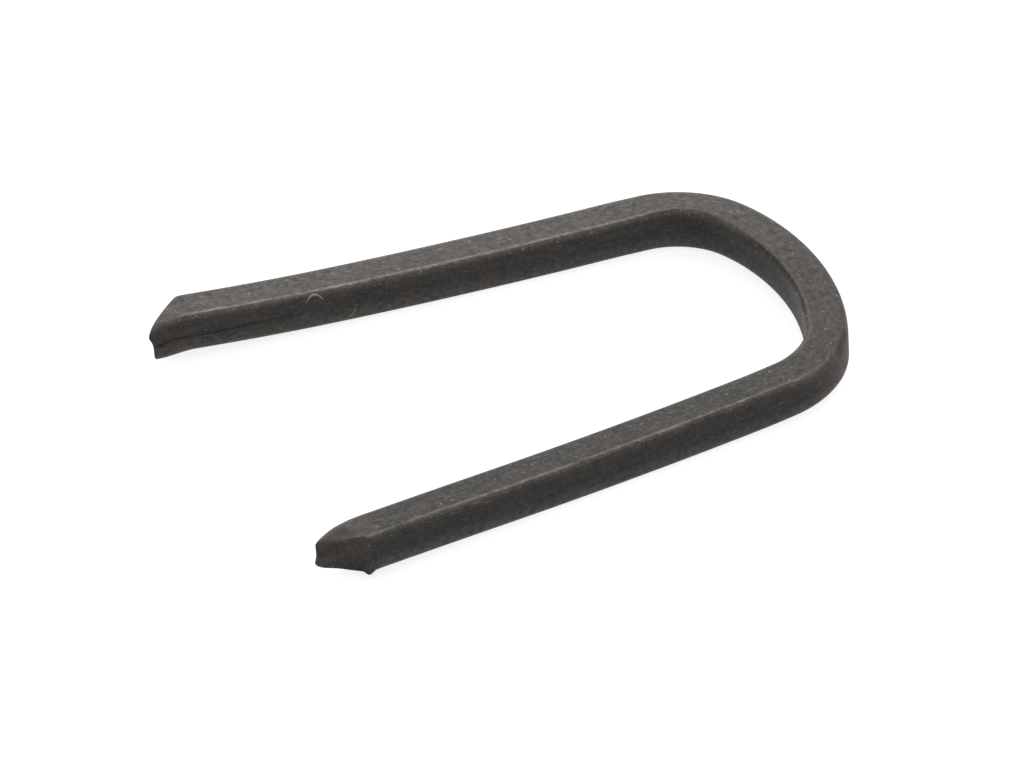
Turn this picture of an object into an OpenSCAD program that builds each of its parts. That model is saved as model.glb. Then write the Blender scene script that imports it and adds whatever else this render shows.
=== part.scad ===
// Retaining clip: a U bent from one length of black square spring wire.
// The crown is a shallow arc between two tight corners. The legs spread apart towards
// the open end, bow slowly upwards, and each is sheared off to a slanted, rolled tip.
// It lies on the bellies of its two legs: +Z is up, +X points out of the crown, and the
// origin is on the surface it lies on, below the middle of its length and width.

/* [Wire] */
// Width of the wire, seen from above
wire_w = 2; // [1.6:0.1:2.4]
// Height of the wire
wire_h = 2.1; // [1.6:0.1:2.4]
// Radius of the wire's four long edges
edge_r = 0.4; // [0.2:0.05:0.6]

/* [Crown] */
// Clear width between the legs where they leave the corners
gap_w = 12.7; // [11:0.1:15]
// Inside radius of the two corners
corner_r = 3.1; // [2.2:0.1:3.6]
// Inside radius of the shallow arc that joins the corners
crown_r = 11.1; // [10:0.1:20]
// How far a corner's inside edges swell, and its outside edges sink, from the bending
keystone = 0.12; // [0:0.02:0.2]

/* [Legs] */
// Length of each leg, from its corner to the point of its tip
leg_l = 24.6; // [18:0.2:34]
// Angle that each leg leans outwards
splay = 5.1; // [0:0.1:9]
// Length of the end of each leg that flares further outwards
flare_l = 9.2; // [5:0.2:14]
// Extra angle that the flared end turns through
flare = 3; // [0.5:0.5:6]
// Radius of the slow upward bow of the legs
bow_r = 280; // [150:10:600]

/* [Tips] */
// Length of the slanted cut across each tip
tip_cut_l = 1.85; // [0.6:0.05:2.6]
// How much shorter the tip is at its underside, where the cut leans back
tip_lean = 0.15; // [0:0.05:0.4]
// Length over which the upper face rolls down to the tip
tip_roll_l = 2.3; // [1.2:0.1:3]
// Depth that the upper face has rolled down at the point of the tip
tip_drop = 0.95; // [0.4:0.05:1.1]

/* [Hidden] */

steel = "#3b3936";
deg = 180 / PI;

// Steps of the sweep: round each edge of the section, and along each part of half the clip
edge_steps = 5;
crown_steps = 5;
corner_steps = 14;
straight_steps = 6;
flare_steps = 6;
tip_steps = 10;

// Centreline radii of the bends
crown_cr = crown_r + wire_w / 2;
corner_cr = corner_r + wire_w / 2;
flare_cr = flare_l / flare * deg;

// The crown's half angle follows from the gap and both radii, and the corners turn the rest.
crown_a = asin((gap_w / 2 + wire_w / 2 - corner_cr * cos(splay)) / (crown_cr - corner_cr));
leg_a = 90 - splay;
corner_a = leg_a - crown_a;

// Distances along the wire from the middle of the crown
crown_end = crown_cr * crown_a / deg;
corner_end = crown_end + corner_cr * corner_a / deg;
straight_end = corner_end + leg_l - flare_l;
wire_end = corner_end + leg_l;
tip_start = wire_end - max(tip_roll_l, tip_cut_l + tip_lean + edge_r);

// Centreline points, seen from above, where one part of the wire ends and the next begins
crown_p = crown_cr * (heading(crown_a) - heading(0));
corner_p = crown_p + corner_cr * (heading(leg_a) - heading(crown_a));
straight_p = corner_p + (straight_end - corner_end) * along(leg_a);
tip_p = straight_p + flare_cr * (heading(leg_a) - heading(leg_a - flare));

// The clip rocks on its bowed legs until it balances, which pitches the crown up.
// Places are distances in X from the middle of the crown, on the centreline.
crown_x = crown_cr * (sin(crown_a) / (crown_a / deg) - 1);
corner_x = crown_p.x - corner_cr * cos(crown_a)
    + corner_cr * (sin(leg_a) - sin(crown_a)) / (corner_a / deg);
leg_x = corner_p.x - leg_l / 2 * cos(splay);
balance_x = (crown_x * crown_end + corner_x * (corner_end - crown_end) + leg_x * leg_l) / wire_end;
belly_s = (corner_p.x - balance_x) / cos(splay);
pitch = atan(belly_s / (bow_r * cos(splay)));
belly_z = pow(belly_s, 2) / (2 * bow_r) * cos(pitch) + balance_x * sin(pitch) - wire_h / 2;

// Half of what the clip measures from the outside of the crown to the points of the tips
front_x = wire_w / 2 * cos(pitch) + (wire_h / 2 - edge_r) * sin(pitch);
back_x = (tip_p.x - wire_w / 2 * cos(leg_a - flare)) * cos(pitch) - bow_z(wire_end) * sin(pitch);
half_l = (front_x - back_x) / 2;

// Directions seen from above, for wire that has turned by a from the middle of the crown:
// out of the bend, and along the wire
function heading(a) = [cos(a), sin(a)];
function along(a) = [-sin(a), cos(a)];

// How far the wire has turned at the distance s
function turned(s) =
    s < crown_end ? s / crown_cr * deg :
    s < corner_end ? crown_a + (s - crown_end) / corner_cr * deg :
    s < straight_end ? leg_a :
    leg_a - (s - straight_end) / flare_cr * deg;

// The centreline seen from above
function plan(s) =
    s < crown_end ? crown_cr * (heading(turned(s)) - heading(0)) :
    s < corner_end ? crown_p + corner_cr * (heading(turned(s)) - heading(crown_a)) :
    s < straight_end ? corner_p + (s - corner_end) * along(leg_a) :
    straight_p + flare_cr * (heading(leg_a) - heading(turned(s)));

// The slow upward bow of a leg, as a slope and as a height
function bow_slope(s) = max(s - corner_end, 0) / bow_r;
function bow_z(s) = bow_slope(s) * max(s - corner_end, 0) / 2;

// 0 outside a corner, rising to 1 in its middle, and fading out over one wire's width
function in_corner(s) =
    let (a = crown_end - wire_w, b = corner_end + wire_w)
    s < a || s > b ? 0 : pow(sin(180 * (s - a) / (b - a)), 2);

// How far the upper face has rolled down, along a quarter of an ellipse
function roll_z(s) =
    let (u = min(max(s - (wire_end - tip_roll_l), 0) / tip_roll_l, 1))
    tip_drop * (1 - sqrt(1 - u * u));

// A point of the wire: s along it, x outwards and z upwards from its centreline
function wire_point(s, x, z) =
    let (a = turned(s),
         out = [heading(a).x, heading(a).y, 0],
         fore = [along(a).x, along(a).y, bow_slope(s)],
         up = cross(out, fore / norm(fore)),
         swell = keystone * in_corner(s) * (x / wire_w) * (z / wire_h) * 4,
         drop = roll_z(s) * (z / wire_h + 0.5))
    [plan(s).x, plan(s).y, bow_z(s)] + out * x + up * (z - swell - drop);

// The section of the wire, as points [x, z]: a rectangle with round corners
section = [for (quarter = [0:3], k = [0:edge_steps])
    let (a = 90 * (quarter + k / edge_steps),
         side = [quarter % 3 == 0 ? 1 : -1, quarter < 2 ? 1 : -1])
    [side.x * (wire_w / 2 - edge_r) + edge_r * cos(a),
     side.y * (wire_h / 2 - edge_r) + edge_r * sin(a)]];

// How far the cut is from the point of the tip, at the place x outwards and z upwards
function cut_back(x, z) = tip_cut_l * (x / wire_w + 0.5) + tip_lean * (0.5 - z / wire_h);

// One ring of the sweep. Towards a tip the rings lean over until the last one lies on the
// slanted cut. A negative s is the other half of the clip, the mirror image.
function ring(s) =
    let (lean = max(abs(s) - tip_start, 0) / (wire_end - tip_start))
    [for (p = section)
        let (q = wire_point(abs(s) - lean * cut_back(p.x, p.y), p.x, p.y))
        [q.x, sign(s) * q.y, q.z]];

function steps(a, b, n) = [for (i = [1:n]) a + (b - a) * i / n];

// Steps that get shorter towards the end, where the roll falls away fastest
function closing_steps(a, b, n) = [for (i = [1:n]) a + (b - a) * sin(90 * i / n)];

stations = concat(
    steps(0, crown_end, crown_steps),
    steps(crown_end, corner_end, corner_steps),
    steps(corner_end, straight_end, straight_steps),
    steps(straight_end, tip_start, flare_steps),
    closing_steps(tip_start, wire_end, tip_steps));

module clip() {
    far = [for (i = [len(stations) - 1:-1:0]) -stations[i]];
    rings = [for (s = concat(far, [0], stations)) ring(s)];
    n = len(section);
    last = (len(rings) - 1) * n;
    walls = [for (i = [0:len(rings) - 2], k = [0:n - 1])
        let (a = i * n + k, b = i * n + (k + 1) % n)
        each [[a, b, b + n], [a, b + n, a + n]]];
    ends = [[for (k = [n - 1:-1:0]) k], [for (k = [0:n - 1]) last + k]];
    color(steel)
        translate([half_l - front_x, 0, -belly_z]) rotate([0, -pitch, 0])
            polyhedron([for (r = rings) each r], concat(walls, ends));
}

clip();
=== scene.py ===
# %% [markdown]
# # A retaining clip of black square wire
#
# The clip is a U bent from one length of square spring steel. It is pushed over a part until its
# two legs sit in a groove, and their spring keeps it there. A maker feeds the wire, bends it round
# a tool, and shears it off. This lesson goes the same way: draw the section, bend the wire,
# shear its ends, and then black it.
#
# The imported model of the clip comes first. It is the fixed frame: every new piece goes where the
# frame says, and its box is kept to compare with the finished one.

# %% Load the frame
import math

import bmesh
import bpy
from mathutils import Matrix, Vector


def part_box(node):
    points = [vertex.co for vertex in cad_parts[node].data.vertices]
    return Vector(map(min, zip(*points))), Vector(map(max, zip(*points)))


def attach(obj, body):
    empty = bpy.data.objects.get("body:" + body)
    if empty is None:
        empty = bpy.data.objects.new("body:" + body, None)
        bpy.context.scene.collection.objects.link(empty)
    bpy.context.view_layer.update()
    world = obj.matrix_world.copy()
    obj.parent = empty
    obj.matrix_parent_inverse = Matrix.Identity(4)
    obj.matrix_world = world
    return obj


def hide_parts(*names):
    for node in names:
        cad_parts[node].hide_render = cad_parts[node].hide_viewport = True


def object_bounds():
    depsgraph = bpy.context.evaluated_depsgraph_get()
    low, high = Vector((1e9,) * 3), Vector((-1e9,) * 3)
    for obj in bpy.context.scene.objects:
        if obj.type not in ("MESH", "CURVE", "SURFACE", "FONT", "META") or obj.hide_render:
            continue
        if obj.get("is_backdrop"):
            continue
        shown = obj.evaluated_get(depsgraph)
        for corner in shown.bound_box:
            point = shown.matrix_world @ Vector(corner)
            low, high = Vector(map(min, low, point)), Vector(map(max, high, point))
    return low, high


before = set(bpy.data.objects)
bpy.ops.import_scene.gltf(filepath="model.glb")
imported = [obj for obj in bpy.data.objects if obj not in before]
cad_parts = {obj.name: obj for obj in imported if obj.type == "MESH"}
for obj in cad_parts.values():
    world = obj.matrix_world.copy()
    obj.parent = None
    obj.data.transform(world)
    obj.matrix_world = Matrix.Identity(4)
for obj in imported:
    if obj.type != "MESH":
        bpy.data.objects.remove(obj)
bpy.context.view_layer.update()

clip_low, clip_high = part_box("clip")
print("frame box in mm:", [round(v * 1000, 2) for v in (*clip_low, *clip_high)])

# %% [markdown]
# ## The sizes
#
# Nearly all of a bent wire is said by a few numbers: its section, the radius of each bend and
# the length of each leg. They are in millimetres, and the clip is modelled with one unit to the
# millimetre, because many of Blender's tools have limits made for things of a metre or so. The
# last step of the modelling scales it down to its real size.

# %% Sizes in millimetres
MM = 0.001

WIRE_W = 2.0        # width of the wire, seen from above
WIRE_H = 2.1        # height of the wire
EDGE_R = 0.4        # radius of its four long edges

GAP_W = 12.7        # clear width between the legs, at the corners
CORNER_R = 3.1      # inside radius of the two corners
CROWN_R = 11.1      # inside radius of the shallow arc between them
KEYSTONE = 0.12     # how far a corner's inside edges swell and its outside edges sink

LEG_L = 24.6        # length of a leg, from its corner to its point
SPLAY = math.radians(5.1)    # a leg's lean outwards
FLARE_L = 9.2       # length of the end that flares out further
FLARE = math.radians(3)      # extra angle that it turns through
BOW_R = 280         # radius of the legs' slow upward bow
PITCH = math.radians(1.65)   # the clip rests on its legs' bellies, which lifts the crown

TIP_CUT_L = 1.85    # length of the slanted cut across a tip
TIP_LEAN = 0.15     # how much shorter a tip is at its underside
TIP_ROLL_L = 2.3    # length over which the upper face rolls down to the tip
TIP_DROP = 0.95     # how far it has rolled down at the point
TIP_SPARE = 0.3     # spare wire past the point, which the shear cuts off
CUT_ROUND = 0.05    # how far the cut's rim is rounded back

crown_cr = CROWN_R + WIRE_W / 2
corner_cr = CORNER_R + WIRE_W / 2
crown_angle = math.asin(
    (GAP_W / 2 + WIRE_W / 2 - corner_cr * math.cos(SPLAY)) / (crown_cr - corner_cr))
corner_angle = math.pi / 2 - SPLAY - crown_angle
crown_end = crown_cr * crown_angle
corner_end = crown_end + corner_cr * corner_angle
wire_end = corner_end + LEG_L
tip_start = wire_end - TIP_ROLL_L
print("half of the wire is", round(wire_end, 2), "mm long")

# %% [markdown]
# ## Selecting in code
#
# Most tools of edit mode work on what is selected. In a script the selection is made by a rule:
# a place, a direction or a length. `pick` selects each vertex, edge or face that passes a test.

# %% Selection helper
def pick(mode, test):
    """Select what passes the test, in edit mode, and say how many passed."""
    bpy.ops.mesh.select_mode(type=mode)
    bpy.ops.mesh.select_all(action="DESELECT")
    shape = bmesh.from_edit_mesh(bpy.context.object.data)
    parts = {"VERT": shape.verts, "EDGE": shape.edges, "FACE": shape.faces}[mode]
    chosen = [part for part in parts if test(part)]
    for part in chosen:
        part.select_set(True)
    shape.select_flush_mode()
    bmesh.update_edit_mesh(bpy.context.object.data)
    return len(chosen)


bpy.ops.object.select_all(action="DESELECT")
print("nothing is selected")

# %% [markdown]
# ## The section of the wire
#
# Square spring wire is drawn through a die, so it has flat sides and evenly rounded edges. A
# curve with a bevel object would also sweep such a section, but the tips need faces that can be
# cut and squashed. So the section is a real face: a plane, set upright at the middle of the
# crown, with its corners rounded by a vertex bevel. Each flat side is divided too, so that the
# shading of the round edges doesn't spread over the flats.

# %% Draw the section
EDGE_STEPS = 7
FLAT_CUTS = 6

bpy.ops.mesh.primitive_plane_add(size=1, location=(0, 0, 0), rotation=(math.pi / 2, 0, 0))
clip = bpy.context.object
clip.name = clip.data.name = "clip_wire"
bpy.ops.object.transform_apply(location=False, rotation=True, scale=False)
bpy.ops.object.mode_set(mode="EDIT")
pick("VERT", lambda v: True)
bpy.ops.transform.resize(value=(WIRE_W, 1, WIRE_H))
bpy.ops.mesh.bevel(offset=EDGE_R, offset_type="OFFSET", segments=EDGE_STEPS, affect="VERTICES")
pick("EDGE", lambda e: e.calc_length() > WIRE_W / 2)
bpy.ops.mesh.subdivide(number_cuts=FLAT_CUTS)
section_points = pick("VERT", lambda v: True)
print("the section has", section_points, "points")

# %% [markdown]
# ## Bending
#
# A wire-forming machine feeds the wire and bends it round a pin. The Spin tool does the same
# with a face: it carries the face round a centre and leaves the wall behind it. Each bend here
# is one arc, and `place` keeps where the end of the wire is, with its X pointing out of the
# bend, its Y along the wire and its Z up. The bow of the legs is so slow that it could be done
# with a Simple Deform modifier, but as an arc of large radius it is just one more bend, and the
# flare and the bow can then share one tilted axis.

# %% Bend half of the wire
ROLL_STEPS = 32

place = Matrix.Identity(4)
bends = []


def bend(length, steps, turn=0, lift=0):
    """Carry the wire's end face along an arc. turn is one over the radius of a bend inwards,
    and lift the same for a bend upwards."""
    global place
    curl = Vector((lift, 0, turn))
    axis, radius = curl.normalized(), 1 / curl.length
    centre = radius * axis.cross(Vector((0, 1, 0)))
    angle = length / radius
    bpy.ops.mesh.spin(steps=steps, angle=-angle, center=place @ centre,
                      axis=place.to_3x3() @ axis, use_auto_merge=False)
    bends.append((place.copy(), centre, axis, radius, length))
    place = (place @ Matrix.Translation(centre) @ Matrix.Rotation(angle, 4, axis)
             @ Matrix.Translation(-centre))


pick("FACE", lambda f: True)
bend(crown_end, steps=16, turn=1 / crown_cr)
bend(corner_end - crown_end, steps=36, turn=1 / corner_cr)
bend(LEG_L - FLARE_L, steps=44, lift=1 / BOW_R)
bend(FLARE_L - TIP_ROLL_L, steps=20, turn=-FLARE / FLARE_L, lift=1 / BOW_R)
bend(TIP_ROLL_L + TIP_SPARE, steps=ROLL_STEPS, turn=-FLARE / FLARE_L, lift=1 / BOW_R)
pick("FACE", lambda f: all(abs(v.co.y) < MM for v in f.verts))
bpy.ops.mesh.delete(type="ONLY_FACE")
pick("FACE", lambda f: True)
bpy.ops.mesh.normals_make_consistent(inside=False)
bpy.ops.object.mode_set(mode="OBJECT")
print("bent half:", len(clip.data.vertices), "points, end at",
      [round(v, 2) for v in place.translation])

# %% [markdown]
# ## Where each point is on the straight wire
#
# The lines that the die leaves run along the wire and follow it round the bends. A pattern on
# Object coordinates would cut straight through them. So each point keeps its place on the
# straight wire as an attribute: how far along, how far out and how high, in millimetres. The
# finish reads that later. A second attribute marks the round edges, where the finish wears.

# %% Unbend each point
def unbend(point):
    """The point's place on the straight wire: outwards, along and upwards."""
    start = 0
    for at, centre, axis, radius, length in bends:
        arm = at.inverted() @ point - centre
        angle = math.atan2(arm.y, -arm.dot(centre) / radius)
        if angle * radius <= length + MM or at is bends[-1][0]:
            flat = Matrix.Rotation(-angle, 3, axis) @ arm + centre
            return Vector((flat.x, start + angle * radius, flat.z))
        start += length


clip.data.attributes.new("wire_place", "FLOAT_VECTOR", "POINT")
clip.data.attributes.new("round_edge", "FLOAT", "POINT")
straight = clip.data.attributes["wire_place"]
edges = clip.data.attributes["round_edge"]
for v in clip.data.vertices:
    at = unbend(v.co)
    straight.data[v.index].vector = at
    out = abs(at.x) - (WIRE_W / 2 - EDGE_R)
    up = abs(at.z) - (WIRE_H / 2 - EDGE_R)
    edges.data[v.index].value = max(0, min(out, up)) / (EDGE_R * (1 - math.sqrt(0.5)) * 2)
far_end = max(d.vector.y for d in straight.data)
print("the straight wire reaches", round(far_end, 2), "mm")

# %% [markdown]
# ## The sheared tips
#
# The blade comes down at a slant across the wire and drags the upper face with it before the
# steel parts, so the upper face rolls down towards the point. Proportional editing could pull
# it down by eye. Here each ring of points is scaled towards the flat underside instead, by as
# much as a round roll asks for, because the rings are square to the wire and easy to select.
# Then the slanted plane of the blade cuts through with Bisect, which also closes the end. The
# cut's rim is a little rounded. A bevel would stop at the shortest edge beside it, so the cut
# is inset twice, and each inset also moves it out a little.

# %% Roll and shear one end

def tip_place(run):
    """Where the wire is, so far into its last bend."""
    at, centre, axis, radius, length = bends[-1]
    return (at @ Matrix.Translation(centre) @ Matrix.Rotation(run / radius, 4, axis)
            @ Matrix.Translation(-centre))


bpy.ops.object.mode_set(mode="EDIT")
ring_gap = (TIP_ROLL_L + TIP_SPARE) / ROLL_STEPS
for ring in range(1, ROLL_STEPS + 1):
    here = tip_place(ring * ring_gap)
    to_ring = here.inverted()
    run = min(ring * ring_gap / TIP_ROLL_L, 1)
    drop = TIP_DROP * (1 - math.sqrt(1 - run ** 2))
    pick("VERT", lambda v: abs((to_ring @ v.co).y) < ring_gap / 4
         and abs((to_ring @ v.co).x) < WIRE_W)
    bpy.ops.transform.resize(
        value=(1, 1, 1 - drop / WIRE_H), center_override=here @ Vector((0, 0, -WIRE_H / 2)),
        orient_type="GLOBAL", orient_matrix=here.to_3x3(), orient_matrix_type="GLOBAL")

tip = tip_place(TIP_ROLL_L)
point = tip @ Vector((-WIRE_W / 2, 0, WIRE_H / 2 - TIP_DROP))
outer = tip @ Vector((WIRE_W / 2, -TIP_CUT_L, WIRE_H / 2))
under = tip @ Vector((-WIRE_W / 2, -TIP_LEAN, -WIRE_H / 2))
blade = (outer - point).cross(under - point).normalized()
rim = point - blade * CUT_ROUND
pick("VERT", lambda v: True)
bpy.ops.mesh.bisect(plane_co=rim, plane_no=blade, use_fill=True, clear_outer=True)
cut_edges = pick("EDGE", lambda e: all(abs((v.co - rim).dot(blade)) < MM for v in e.verts))
pick("FACE", lambda f: all(abs((v.co - rim).dot(blade)) < MM for v in f.verts))
bpy.ops.mesh.inset(thickness=CUT_ROUND * 0.6, depth=CUT_ROUND * 0.7)
bpy.ops.mesh.inset(thickness=CUT_ROUND * 1.4, depth=CUT_ROUND * 0.3)
bpy.ops.object.mode_set(mode="OBJECT")
print("the cut has", cut_edges, "edges")

# %% [markdown]
# ## The whole clip
#
# A forming tool presses both legs round one pin in the same stroke, so the clip's two halves are
# alike. Modelling the second leg again would double the work and could let the two drift apart.
# A Mirror modifier makes the -Y half instead and joins it at the middle of the crown.

# %% Mirror the other half
mirror = clip.modifiers.new("other_half", "MIRROR")
mirror.use_axis = (False, True, False)
mirror.merge_threshold = MM
bpy.ops.object.modifier_apply(modifier=mirror.name)
print("whole wire:", len(clip.data.vertices), "points")

# %% [markdown]
# Bending squeezes the steel inside a corner and stretches it outside, so the section turns from
# a rectangle into a slight keystone: taller inside, lower outside. A lattice round each corner
# could do this, but it would need two lattices set at an angle. The places on the straight wire
# are already at hand, so each point is moved by a sum of them, most in the middle of a corner.

# %% Keystone the corners
def in_corner(s):
    """0 outside a corner, rising to 1 in its middle, and fading out over one wire's width."""
    run = (s - crown_end + WIRE_W) / (corner_end - crown_end + 2 * WIRE_W)
    return math.sin(math.pi * min(max(run, 0), 1)) ** 2


straight = clip.data.attributes["wire_place"]
for v in clip.data.vertices:
    x, s, z = straight.data[v.index].vector
    v.co.z -= KEYSTONE * in_corner(s) * (x / WIRE_W) * (z / WIRE_H) * 4
    if v.co.y < 0:
        straight.data[v.index].vector = (x, -s, z)

# %% [markdown]
# ## What the shear left
#
# The two tips differ a little, as no blade cuts twice alike. At the +Y tip the upper half stands
# out past the lower in a lip, and the underside is dragged down. At the other tip the inner
# corner and a small spike at the outer corner hang down as burrs. Proportional editing would
# reach round the end and pull the far faces along too. A sum on the straight wire's places can
# say how far each push reaches in each direction, so it is used for these.

# %% Push the tips out of true
def fade(distance, reach):
    """1 at no distance, falling smoothly to 0 at the reach."""
    run = 1 - min(max(distance / reach, 0), 1)
    return run * run * (3 - 2 * run)


def push(side, x, behind, z, reach, by):
    """Move one tip's points near a place on the straight wire: x outwards, so far behind the
    cut, and z upwards. reach says how far the push spreads in each of those directions."""
    moved = 0
    for v in clip.data.vertices:
        at = straight.data[v.index].vector
        cut = wire_end - TIP_CUT_L * (at.x / WIRE_W + 0.5) - TIP_LEAN * (0.5 - at.z / WIRE_H)
        share = (fade(abs(at.x - x), reach[0]) * fade(abs(cut - abs(at.y) - behind), reach[1])
                 * fade(abs(at.z - z), reach[2])) if at.y * side > 0 else 0
        if share > 0:
            v.co += Vector((by[0], by[1] * side, by[2])) * share
            moved += 1
    return moved


along_tip = tip.to_3x3() @ Vector((0, 1, 0))
print("lip:", push(1, -1, 0, 0.85, (2.2, 1.4, 1.0), along_tip * 0.19), "points")
print("dragged underside:", push(1, -1, 0, -1.05, (2.6, 2.0, 1.5), (0, 0, -0.26)), "points")
print("inner burr:", push(-1, -1, 0, -0.95, (0.9, 1.0, 1.2), (0, 0, -0.17)), "points")
print("burr's corner:", push(-1, -1, 0, -0.9, (0.5, 0.6, 0.7), along_tip * 0.14), "points")
print("rolled edge:", push(-1, -0.2, 0, 1.05, (1.05, 0.9, 1.3), (0, 0, -0.24)), "points")
print("lower rim:", push(-1, 0, 0, -1.05, (1.3, 0.8, 0.8), (0, 0, -0.08)), "points")
print("spike:", push(-1, 0.74, 0.08, -1.05, (0.24, 0.26, 0.45), (-0.02, 0, -0.30)), "points")

# %% [markdown]
# ## Lying on its bellies
#
# The legs bow slowly upwards, so the clip rests on the lowest line of each leg and rocks until it
# balances there. That pitches the crown up by less than two degrees. The angle was worked out
# among the sizes, and here the finished wire is turned by it, brought to metres and set down where
# the frame has it. Applying the transform leaves the piece at the origin, unturned and unscaled.

# %% Lay the clip down
clip.rotation_euler = (0, -PITCH, 0)
clip.scale = (MM, MM, MM)
bpy.ops.object.transform_apply(location=False, rotation=True, scale=True)
low = min(v.co.z for v in clip.data.vertices)
front = max(v.co.x for v in clip.data.vertices)
clip.location = (clip_high.x - front, 0, clip_low.z - low)
bpy.ops.object.transform_apply(location=True, rotation=False, scale=False)
bpy.ops.object.shade_smooth()
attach(clip, "root")
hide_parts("clip")
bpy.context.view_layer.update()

# %% [markdown]
# ## Black oxide
#
# The wire is blackened in a hot salt bath. The oxide is a thin, nearly black skin that keeps the
# grain and the die lines of the steel. It wears to a brown grey on the round edges, and it holds
# pale dust. One noise can't say all of that, so the finish is built up in layers. Each layer is a
# mask from 0 to 1, and the masks then steer the colour, the roughness and the bump. A few colour
# layers also paint light and shade: a darker -Y leg, a lighter +Y leg, a shaded line inside the
# crown, light on the round edges and the rolled tip, and light at the foot of the walls.

# %% Node helpers
def start_material(name):
    """A new material with its Principled shader."""
    material = bpy.data.materials.new(name)
    material.use_nodes = True
    return material, material.node_tree.nodes["Principled BSDF"]


def fill(tree, node, inputs):
    """Link or set a node's inputs, by name or number."""
    for key, value in dict(inputs).items():
        if isinstance(value, bpy.types.NodeSocket):
            tree.links.new(value, node.inputs[key])
        else:
            node.inputs[key].default_value = value


def add(tree, kind, inputs=(), output=0, **settings):
    """Add a node, set its properties and its inputs, and give one of its outputs."""
    node = tree.nodes.new("ShaderNode" + kind)
    for key, value in settings.items():
        setattr(node, key, value)
    fill(tree, node, inputs)
    return node.outputs[output]


def calc(tree, operation, *values):
    """One sum on numbers or node outputs."""
    return add(tree, "Math", dict(enumerate(values)), operation=operation)


def ramp(tree, value, low, high, to_low=0.0, to_high=1.0):
    """Stretch a value between low and high to a new range, held at its ends."""
    return add(tree, "MapRange", {0: value, 1: low, 2: high, 3: to_low, 4: to_high})


def noise(tree, place, stretch, detail=4.0, roughness=0.6):
    """Noise with so many waves to the millimetre in each direction, spread over 0 to 1."""
    scaled = add(tree, "VectorMath", {0: place, 1: stretch}, operation="MULTIPLY")
    value = add(tree, "TexNoise", {"Vector": scaled, "Scale": 1.0, "Detail": detail,
                                   "Roughness": roughness})
    return ramp(tree, value, 0.3, 0.7)


def coat(tree, under, amount, colour):
    """Cover a colour with another by an amount from 0 to 1."""
    node = add(tree, "Mix", {0: amount, 6: under, 7: colour}, output=2, data_type="RGBA")
    return node


black, shader = start_material("black_oxide")
tree = black.node_tree
wire = add(tree, "Attribute", attribute_name="wire_place", output="Vector")
across = add(tree, "SeparateXYZ", {0: wire}, output="X")
along = add(tree, "SeparateXYZ", {0: wire}, output="Y")
height = add(tree, "SeparateXYZ", {0: wire}, output="Z")
rounded = add(tree, "Attribute", attribute_name="round_edge", output="Fac")
print("the finish starts from a", shader.name)

# %% [markdown]
# The die leaves fine lines along the wire, so their noise is stretched: many waves across the
# wire and few along it. One deeper line runs low on the inner wall of the legs.

# %% Die lines
fine_lines = noise(tree, wire, (8, 0.5, 8))
wander = ramp(tree, noise(tree, wire, (0, 0.3, 0), detail=2.0), 0, 1, -0.06, 0.06)
line_height = ramp(tree, along, 25, 31, 0.18, -0.06)
off_line = calc(tree, "ABSOLUTE", calc(tree, "SUBTRACT", calc(tree, "ADD", height, wander),
                                       line_height))
die_line_and_crease_shade = calc(tree, "MULTIPLY", ramp(tree, off_line, 0.03, 0.09, 1, 0),
                 ramp(tree, across, -0.9, -0.8, 1, 0))
broken = calc(tree, "MULTIPLY", noise(tree, wire, (0.5, 0.6, 0.5)), 0.3)
broken = calc(tree, "MAXIMUM", broken, ramp(tree, along, wire_end - 9, wire_end - 4, 0.1, 0.75))
die_line_and_crease_shade = calc(tree, "MULTIPLY", die_line_and_crease_shade, broken)
print("die lines: fine ones and a deep one")

# %% [markdown]
# On the inside of the crown the bend squeezes the steel and swells the upper inside edge. Along
# the middle of that edge runs a dark line of painted shade, for the shadow that the swelling casts
# on the wall below it.

# %% Painted shade inside the crown
in_crown = ramp(tree, calc(tree, "ABSOLUTE", calc(tree, "ADD", along, 0.8)), 2.8, 5.0, 1, 0)
crease_shade = calc(tree, "MULTIPLY", in_crown, ramp(tree, rounded, 0.8, 1.1))
crease_shade = calc(tree, "MULTIPLY", crease_shade, calc(tree, "LESS_THAN", across, 0.0))
crease_shade = calc(tree, "MULTIPLY", crease_shade, calc(tree, "GREATER_THAN", height, 0.0))
# Painted shade: the line inside the crown joins the die lines, so it is darkened, dulled and sunk
# with them.
die_line_and_crease_shade = calc(tree, "MAXIMUM", die_line_and_crease_shade, crease_shade)
print("crease: inside the crown")

# %% [markdown]
# The bath leaves slow mottling, and the surface has a grain about as fine as the eye can see.

# %% Mottling and grain
mottle = noise(tree, wire, (1.2, 0.7, 1.2), detail=5.0)
blotch = noise(tree, wire, (4.0, 3.0, 4.0), detail=3.0)
grain = noise(tree, wire, (7, 5, 7), detail=3.0, roughness=0.8)
scratch = ramp(tree, noise(tree, wire, (10, 1.6, 10), detail=2.0), 0.86, 1.0)
print("mottling: slow, middling and fine")

# %% [markdown]
# Dust settles in a thin layer on what faces up. It grows towards the +Y leg, and that extra share
# is painted light, for the brighter light on that leg's upper face. The pale band at the foot of
# the walls is painted reflection of the bright floor, and the pale patch in the crook of the -Y
# corner is painted light falling on its inner wall. Specks of dust sit everywhere, in clusters. A
# Voronoi texture puts one point in each cell. Its colour output is random from cell to cell, so it
# picks which cells have a speck.

# %% Dust and painted light
upward = ramp(tree, height, 0.75, 0.95)
# Dust on upward faces; its rise towards the +Y leg is painted light.
film_and_light = calc(tree, "MULTIPLY", upward, ramp(tree, along, -14, 14, 0.1, 1.0))
side = ramp(tree, calc(tree, "ABSOLUTE", across), 0.7, 0.95)
# Painted reflection of the floor, on the lower half of both walls.
low_wall = calc(tree, "MULTIPLY", ramp(tree, height, -0.1, -0.9), side)
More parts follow.
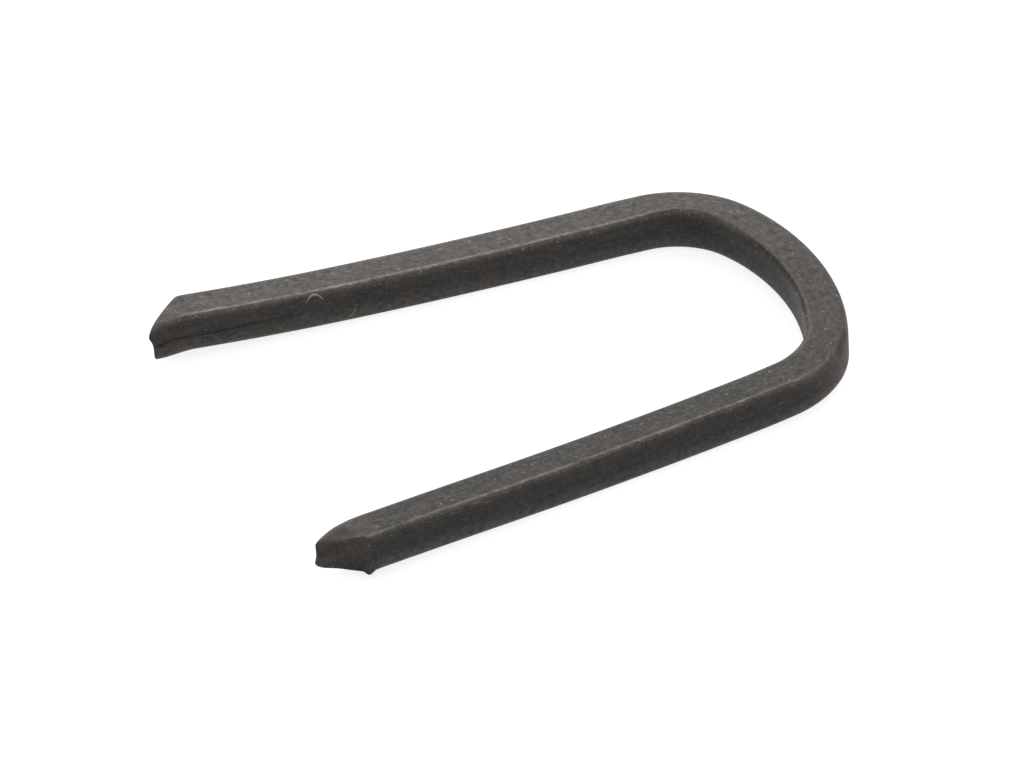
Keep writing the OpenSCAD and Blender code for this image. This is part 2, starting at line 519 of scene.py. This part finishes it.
# Painted light on the inner wall in the crook of the -Y corner.
in_crook = ramp(tree, calc(tree, "ABSOLUTE", calc(tree, "ADD", along, 4.5)), 2.0, 4.0, 1, 0)
in_crook = calc(tree, "MULTIPLY", in_crook, ramp(tree, across, -0.8, -0.95))
uneven_dust_and_light = ramp(tree, blotch, 0, 1, 0.3, 1.0)
film_and_light = calc(tree, "MULTIPLY", film_and_light, uneven_dust_and_light)
# This band holds only painted light: the floor's reflection and the lit crook.
foot = calc(tree, "MAXIMUM", low_wall, calc(tree, "MULTIPLY", in_crook, 0.45))
foot = calc(tree, "MULTIPLY", foot, uneven_dust_and_light)


def specks(per_mm, radius, share):
    """Specks with so many cells to the millimetre, a radius in cells, in a share of the cells."""
    cells = {"Vector": wire, "Scale": per_mm, "Randomness": 1.0}
    near = ramp(tree, add(tree, "TexVoronoi", cells), radius * 0.5, radius, 1, 0)
    pick_cell = add(tree, "SeparateColor", {0: add(tree, "TexVoronoi", cells, output="Color")})
    crowd = noise(tree, wire, (0.45, 0.3, 0.45), detail=3.0)
    limit = ramp(tree, crowd, 0, 1, 1 - share * 0.3, 1 - share * 1.7)
    return calc(tree, "MULTIPLY", near, calc(tree, "GREATER_THAN", pick_cell, limit))


small = specks(6.5, 0.32, 0.24)
large = specks(2.4, 0.20, 0.24)
speck = calc(tree, "MAXIMUM", calc(tree, "MULTIPLY", small, 0.7), large)
speck = calc(tree, "MULTIPLY", speck, ramp(tree, blotch, 0, 1, 0.4, 1.0))
print("dust: a film, a band at the foot of the walls and two sizes of speck")

# %% [markdown]
# Two hair-thin fibres cling to the inner wall of the +Y leg. Each is close to an arc of a
# circle, so the distance from the circle's middle is enough to draw it. Tubes of real geometry
# would stand off the wall, but they are only 0.05 mm thick and lie flat on the steel.

# %% Fibres
def fibre(along_at, height_at, radius, along_to, height_to):
    """Part of a circle on the inner wall, kept on one side of a place in each direction."""
    flat = add(tree, "VectorMath", {0: wire, 1: (0, 1, 1)}, operation="MULTIPLY")
    away = add(tree, "VectorMath", {0: flat, 1: (0, along_at, height_at)}, output=1,
               operation="DISTANCE")
    wobble = ramp(tree, blotch, 0, 1, -0.03, 0.03)
    off = calc(tree, "ABSOLUTE", calc(tree, "SUBTRACT", calc(tree, "ADD", away, wobble), radius))
    ring = ramp(tree, off, 0.012, 0.04, 1, 0)
    ring = calc(tree, "MULTIPLY", ring, calc(tree, *along_to[:1], along, along_to[1]))
    ring = calc(tree, "MULTIPLY", ring, calc(tree, *height_to[:1], height, height_to[1]))
    return calc(tree, "MULTIPLY", ring, ramp(tree, across, -0.8, -0.7, 1, 0))


fibres = calc(tree, "MAXIMUM",
              fibre(26.15, 0.50, 0.42, ("LESS_THAN", 26.6), ("GREATER_THAN", 0.60)),
              fibre(24.75, -0.20, 0.60, ("LESS_THAN", 24.85), ("LESS_THAN", -0.25)))
print("fibres: two")

# %% [markdown]
# The round edges rub against things first. They are worn in patches, not evenly, and their lighter
# coat also paints part of the highlight that the round edges catch. The last couple of millimetres
# of each tip have a brown stain, where the steel was bared by the shear. The blade also rubbed the
# rolled face and the lower rim of the cut lighter, most on the -Y tip; on the rolled face that
# lighter coat is partly a painted sheen.

# %% Worn edges, stain and painted sheen
patches = ramp(tree, noise(tree, wire, (1.5, 1.1, 1.5), detail=4.0), 0, 1, 0.25, 1.0)
# Worn round edges; the coat also paints part of their highlight.
wear_and_sheen = calc(tree, "MULTIPLY", ramp(tree, rounded, 0.05, 0.5), patches)
near_tip = ramp(tree, calc(tree, "ABSOLUTE", along), wire_end - 2.6, wire_end - 0.3)
crown_side = calc(tree, "MULTIPLY", ramp(tree, across, 0.8, 0.95),
                  ramp(tree, calc(tree, "ABSOLUTE", along), 7.0, 10.0, 1, 0))
stain = calc(tree, "MAXIMUM", calc(tree, "MULTIPLY", near_tip, 0.4), crown_side)
stain = calc(tree, "MULTIPLY", stain, ramp(tree, mottle, 0, 1, 0.3, 1.0))
# The rolled face: rubbed, and partly a painted sheen.
on_roll = calc(tree, "MULTIPLY", near_tip, ramp(tree, height, 0.8, 1.0))
on_roll = calc(tree, "MULTIPLY", on_roll, ramp(tree, along, -1, 1, 1.0, 0.2))
on_rim = calc(tree, "MULTIPLY", near_tip, ramp(tree, height, -0.9, -1.04))
burnish_and_sheen = calc(tree, "MAXIMUM", on_roll, on_rim)
print("wear on the edges, stain at the tips and round the crown, burnish on the rolled tip")

# %% [markdown]
# Each coat is a mix between the colours below it and its own, steered by its mask, in the order in
# which the clip got them: the oxide, the stain and the worn edges, the lines that stayed dark, and
# last the dust. Some coats also paint light and shade: the darker -Y leg, the lighter upper face
# of the +Y leg, part of the highlight on the round edges, the sheen on the rolled tip, the shade
# inside the crown, and the light at the foot of the walls and in the crook. A painted image would
# also do, but it would be tied to one size of picture, and these masks stay sharp at any distance.

# %% Colour
OXIDE_DARK = (0.002, 0.002, 0.0015, 1)
OXIDE_PALE = (0.057, 0.049, 0.043, 1)
LINE_AND_SHADE = (0.004, 0.004, 0.004, 1)
STAIN = (0.075, 0.040, 0.026, 1)
WORN_AND_SHEEN = (0.20, 0.175, 0.15, 1)
DUST_AND_LIGHT = (0.42, 0.385, 0.35, 1)

tone_and_leg_shade = calc(tree, "ADD", calc(tree, "MULTIPLY", mottle, 0.25), calc(tree, "MULTIPLY", grain, 0.35))
tone_and_leg_shade = calc(tree, "ADD", tone_and_leg_shade, calc(tree, "MULTIPLY", fine_lines, 0.15))
tone_and_leg_shade = calc(tree, "ADD", tone_and_leg_shade, calc(tree, "MULTIPLY", blotch, 0.25))
tone_and_leg_shade = ramp(tree, tone_and_leg_shade, 0.2, 0.8)
# Painted shade: the -Y leg is darkened to three quarters and the +Y leg kept full, for how the
# light falls on the two legs.
tone_and_leg_shade = calc(tree, "MULTIPLY", tone_and_leg_shade, ramp(tree, along, -6, 14, 0.75, 1.0))
colour = coat(tree, OXIDE_DARK, tone_and_leg_shade, OXIDE_PALE)
colour = coat(tree, colour, calc(tree, "MULTIPLY", stain, 0.25), STAIN)
# Worn round edges, partly a painted highlight.
colour = coat(tree, colour, calc(tree, "MULTIPLY", wear_and_sheen, 0.14), WORN_AND_SHEEN)
# Rubbed tips, with a painted sheen on the rolled face.
colour = coat(tree, colour, calc(tree, "MULTIPLY", burnish_and_sheen, 0.36), WORN_AND_SHEEN)
# Dark die lines, and the painted shade inside the crown.
colour = coat(tree, colour, calc(tree, "MULTIPLY", die_line_and_crease_shade, 0.9), LINE_AND_SHADE)
# Dust on the upper faces, with painted light on the +Y leg.
colour = coat(tree, colour, calc(tree, "MULTIPLY", film_and_light, 0.10), DUST_AND_LIGHT)
# Painted light: the floor's reflection at the foot of the walls and the lit crook.
colour = coat(tree, colour, calc(tree, "MULTIPLY", foot, 0.28), DUST_AND_LIGHT)
colour = coat(tree, colour, calc(tree, "MULTIPLY", scratch, 0.18), DUST_AND_LIGHT)
colour = coat(tree, colour, calc(tree, "MULTIPLY", speck, 0.5), DUST_AND_LIGHT)
colour = coat(tree, colour, calc(tree, "MULTIPLY", fibres, 0.7), DUST_AND_LIGHT)
tree.links.new(colour, shader.inputs["Base Color"])
print("colour: oxide, line, stain, wear, dust")

# %% [markdown]
# The oxide is dull and a little uneven, and worn edges shine more. Only what is smaller than
# 0.02 mm is left to the bump: the grain, the fine lines and the thickness of the fibres. The
# metal share and the specular level are the same everywhere, so they are plain numbers on the
# shader.

# %% Roughness and relief
uneven = calc(tree, "ADD", calc(tree, "MULTIPLY", grain, 0.55),
              calc(tree, "MULTIPLY", blotch, 0.45))
rough = ramp(tree, uneven, 0.15, 0.85, 0.56, 0.34)
rough = calc(tree, "ADD", rough, ramp(tree, along, -6, 14, 0.04, 0.0))
rough = add(tree, "Mix", {0: calc(tree, "MULTIPLY", wear_and_sheen, 0.8), 2: rough, 3: 0.25})
dull = calc(tree, "MAXIMUM", calc(tree, "MAXIMUM", speck, fibres), die_line_and_crease_shade)
rough = calc(tree, "ADD", rough, calc(tree, "MULTIPLY", dull, 0.35))
tree.links.new(rough, shader.inputs["Roughness"])
relief = calc(tree, "ADD", calc(tree, "MULTIPLY", grain, 0.16),
              calc(tree, "MULTIPLY", blotch, 0.3))
relief = calc(tree, "ADD", relief, calc(tree, "MULTIPLY", fine_lines, 0.3))
relief = calc(tree, "ADD", relief, calc(tree, "MULTIPLY", mottle, 0.5))
relief = calc(tree, "SUBTRACT", relief, calc(tree, "MULTIPLY", die_line_and_crease_shade, 0.8))
relief = calc(tree, "ADD", relief, calc(tree, "MULTIPLY", fibres, 1.0))
BUMP_DEPTH = 0.02 * MM
normal = add(tree, "Bump", {"Strength": 1.0, "Distance": BUMP_DEPTH, "Height": relief})
tree.links.new(normal, shader.inputs["Normal"])
shader.inputs["Metallic"].default_value = 0.25
shader.inputs["Specular IOR Level"].default_value = 0.52
clip.data.materials.clear()
clip.data.materials.append(black)
print("relief", round(BUMP_DEPTH / MM, 3), "mm deep")

# %% [markdown]
# ## Floor, light and camera
#
# The clip lies on a pale, plain floor. The floor's own colour is a middle grey, so that it throws
# only a little light up onto the dark walls. To the camera it also glows a little, which brings it
# up to white and leaves the shadow soft.

# %% Floor
FLOOR = 1.2
bpy.ops.object.select_all(action="DESELECT")
bpy.ops.mesh.primitive_plane_add(size=FLOOR)
floor = bpy.context.object
floor.name = "floor"
white, floor_shader = start_material("white_floor")
camera_ray = add(white.node_tree, "LightPath", output="Is Camera Ray")
mirrored = calc(white.node_tree, "MULTIPLY",
                add(white.node_tree, "LightPath", output="Is Glossy Ray"), 0.45)
fill(white.node_tree, floor_shader, {
    "Base Color": (0.4, 0.4, 0.4, 1), "Roughness": 1.0, "Specular IOR Level": 0.0,
    "Emission Color": (0.82, 0.82, 0.82, 1),
    "Emission Strength": calc(white.node_tree, "MAXIMUM", camera_ray, mirrored)})
floor.data.materials.append(white)
floor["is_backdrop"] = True
print("floor", FLOOR, "m wide")

# %% [markdown]
# A big softbox hangs nearly overhead and draws the bright line on the round edges. A second,
# weaker one stands beyond the clip: a flat face seen at a slant mirrors what is beyond it, so
# this is the light that the upper faces show. A third, beside the camera, is mirrored only by
# the round outer edge of the -Y leg and the outside of its corner. The rest of the room is dim,
# which keeps the walls dark.

# %% Light
world = bpy.data.worlds.new("studio")
bpy.context.scene.world = world
world.use_nodes = True
room = world.node_tree
mirrored = calc(room, "MULTIPLY", add(room, "LightPath", output="Is Glossy Ray"), 0.62)
seen = calc(room, "MAXIMUM", add(room, "LightPath", output="Is Camera Ray"), mirrored)
fill(room, room.nodes["Background"], {
    "Color": (1, 1, 1, 1), "Strength": calc(room, "MAXIMUM", seen, 0.58)})


def softbox(name, place, size, glow):
    """A square area lamp that faces the clip. glow is how bright its face looks."""
    bpy.ops.object.light_add(type="AREA", location=place)
    lamp = bpy.context.object
    lamp.name = name
    lamp.data.shape = "SQUARE"
    lamp.data.size = size
    lamp.data.energy = glow * math.pi * size ** 2
    lamp.data.color = (1.0, 0.975, 0.95)
    lamp.rotation_euler = (-Vector(place)).to_track_quat("-Z", "Y").to_euler()
    print(name, "softbox:", round(lamp.data.energy, 2), "W")


softbox("overhead", (0.19, 0.11, 0.5), 0.17, 10.0)
softbox("beyond", (0.0, 0.58, 0.42), 1.0, 0.92)
softbox("beside", (0.42, -0.25, 0.5), 0.26, 2.0)

# %% [markdown]
# The camera looks down at the clip from beyond its open end, a little to one side, with a long
# lens from most of a metre away.

# %% Camera
AIM = Vector((-0.726, 0.147, 0)) * MM
AZIMUTH = math.radians(-25.348)
ELEVATION = math.radians(36.637)
ROLL = math.radians(-0.834)
DISTANCE = 0.7016
LENS = 535

bpy.ops.object.camera_add()
camera = bpy.context.object
away = Vector((math.sin(AZIMUTH) * math.cos(ELEVATION), -math.cos(AZIMUTH) * math.cos(ELEVATION),
               math.sin(ELEVATION)))
camera.location = AIM + away * DISTANCE
facing = (-away).to_track_quat("-Z", "Y").to_matrix() @ Matrix.Rotation(ROLL, 3, "Z")
camera.rotation_euler = facing.to_euler()
camera.data.lens = LENS
camera.data.clip_start = 0.01
bpy.context.scene.camera = camera
bpy.context.scene.view_settings.view_transform = "Standard"
print("camera", round(DISTANCE, 2), "m away, lens", LENS, "mm")

# %% Finish
low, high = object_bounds()
print("finished box in mm:", [round(v / MM, 2) for v in (*low, *high)])
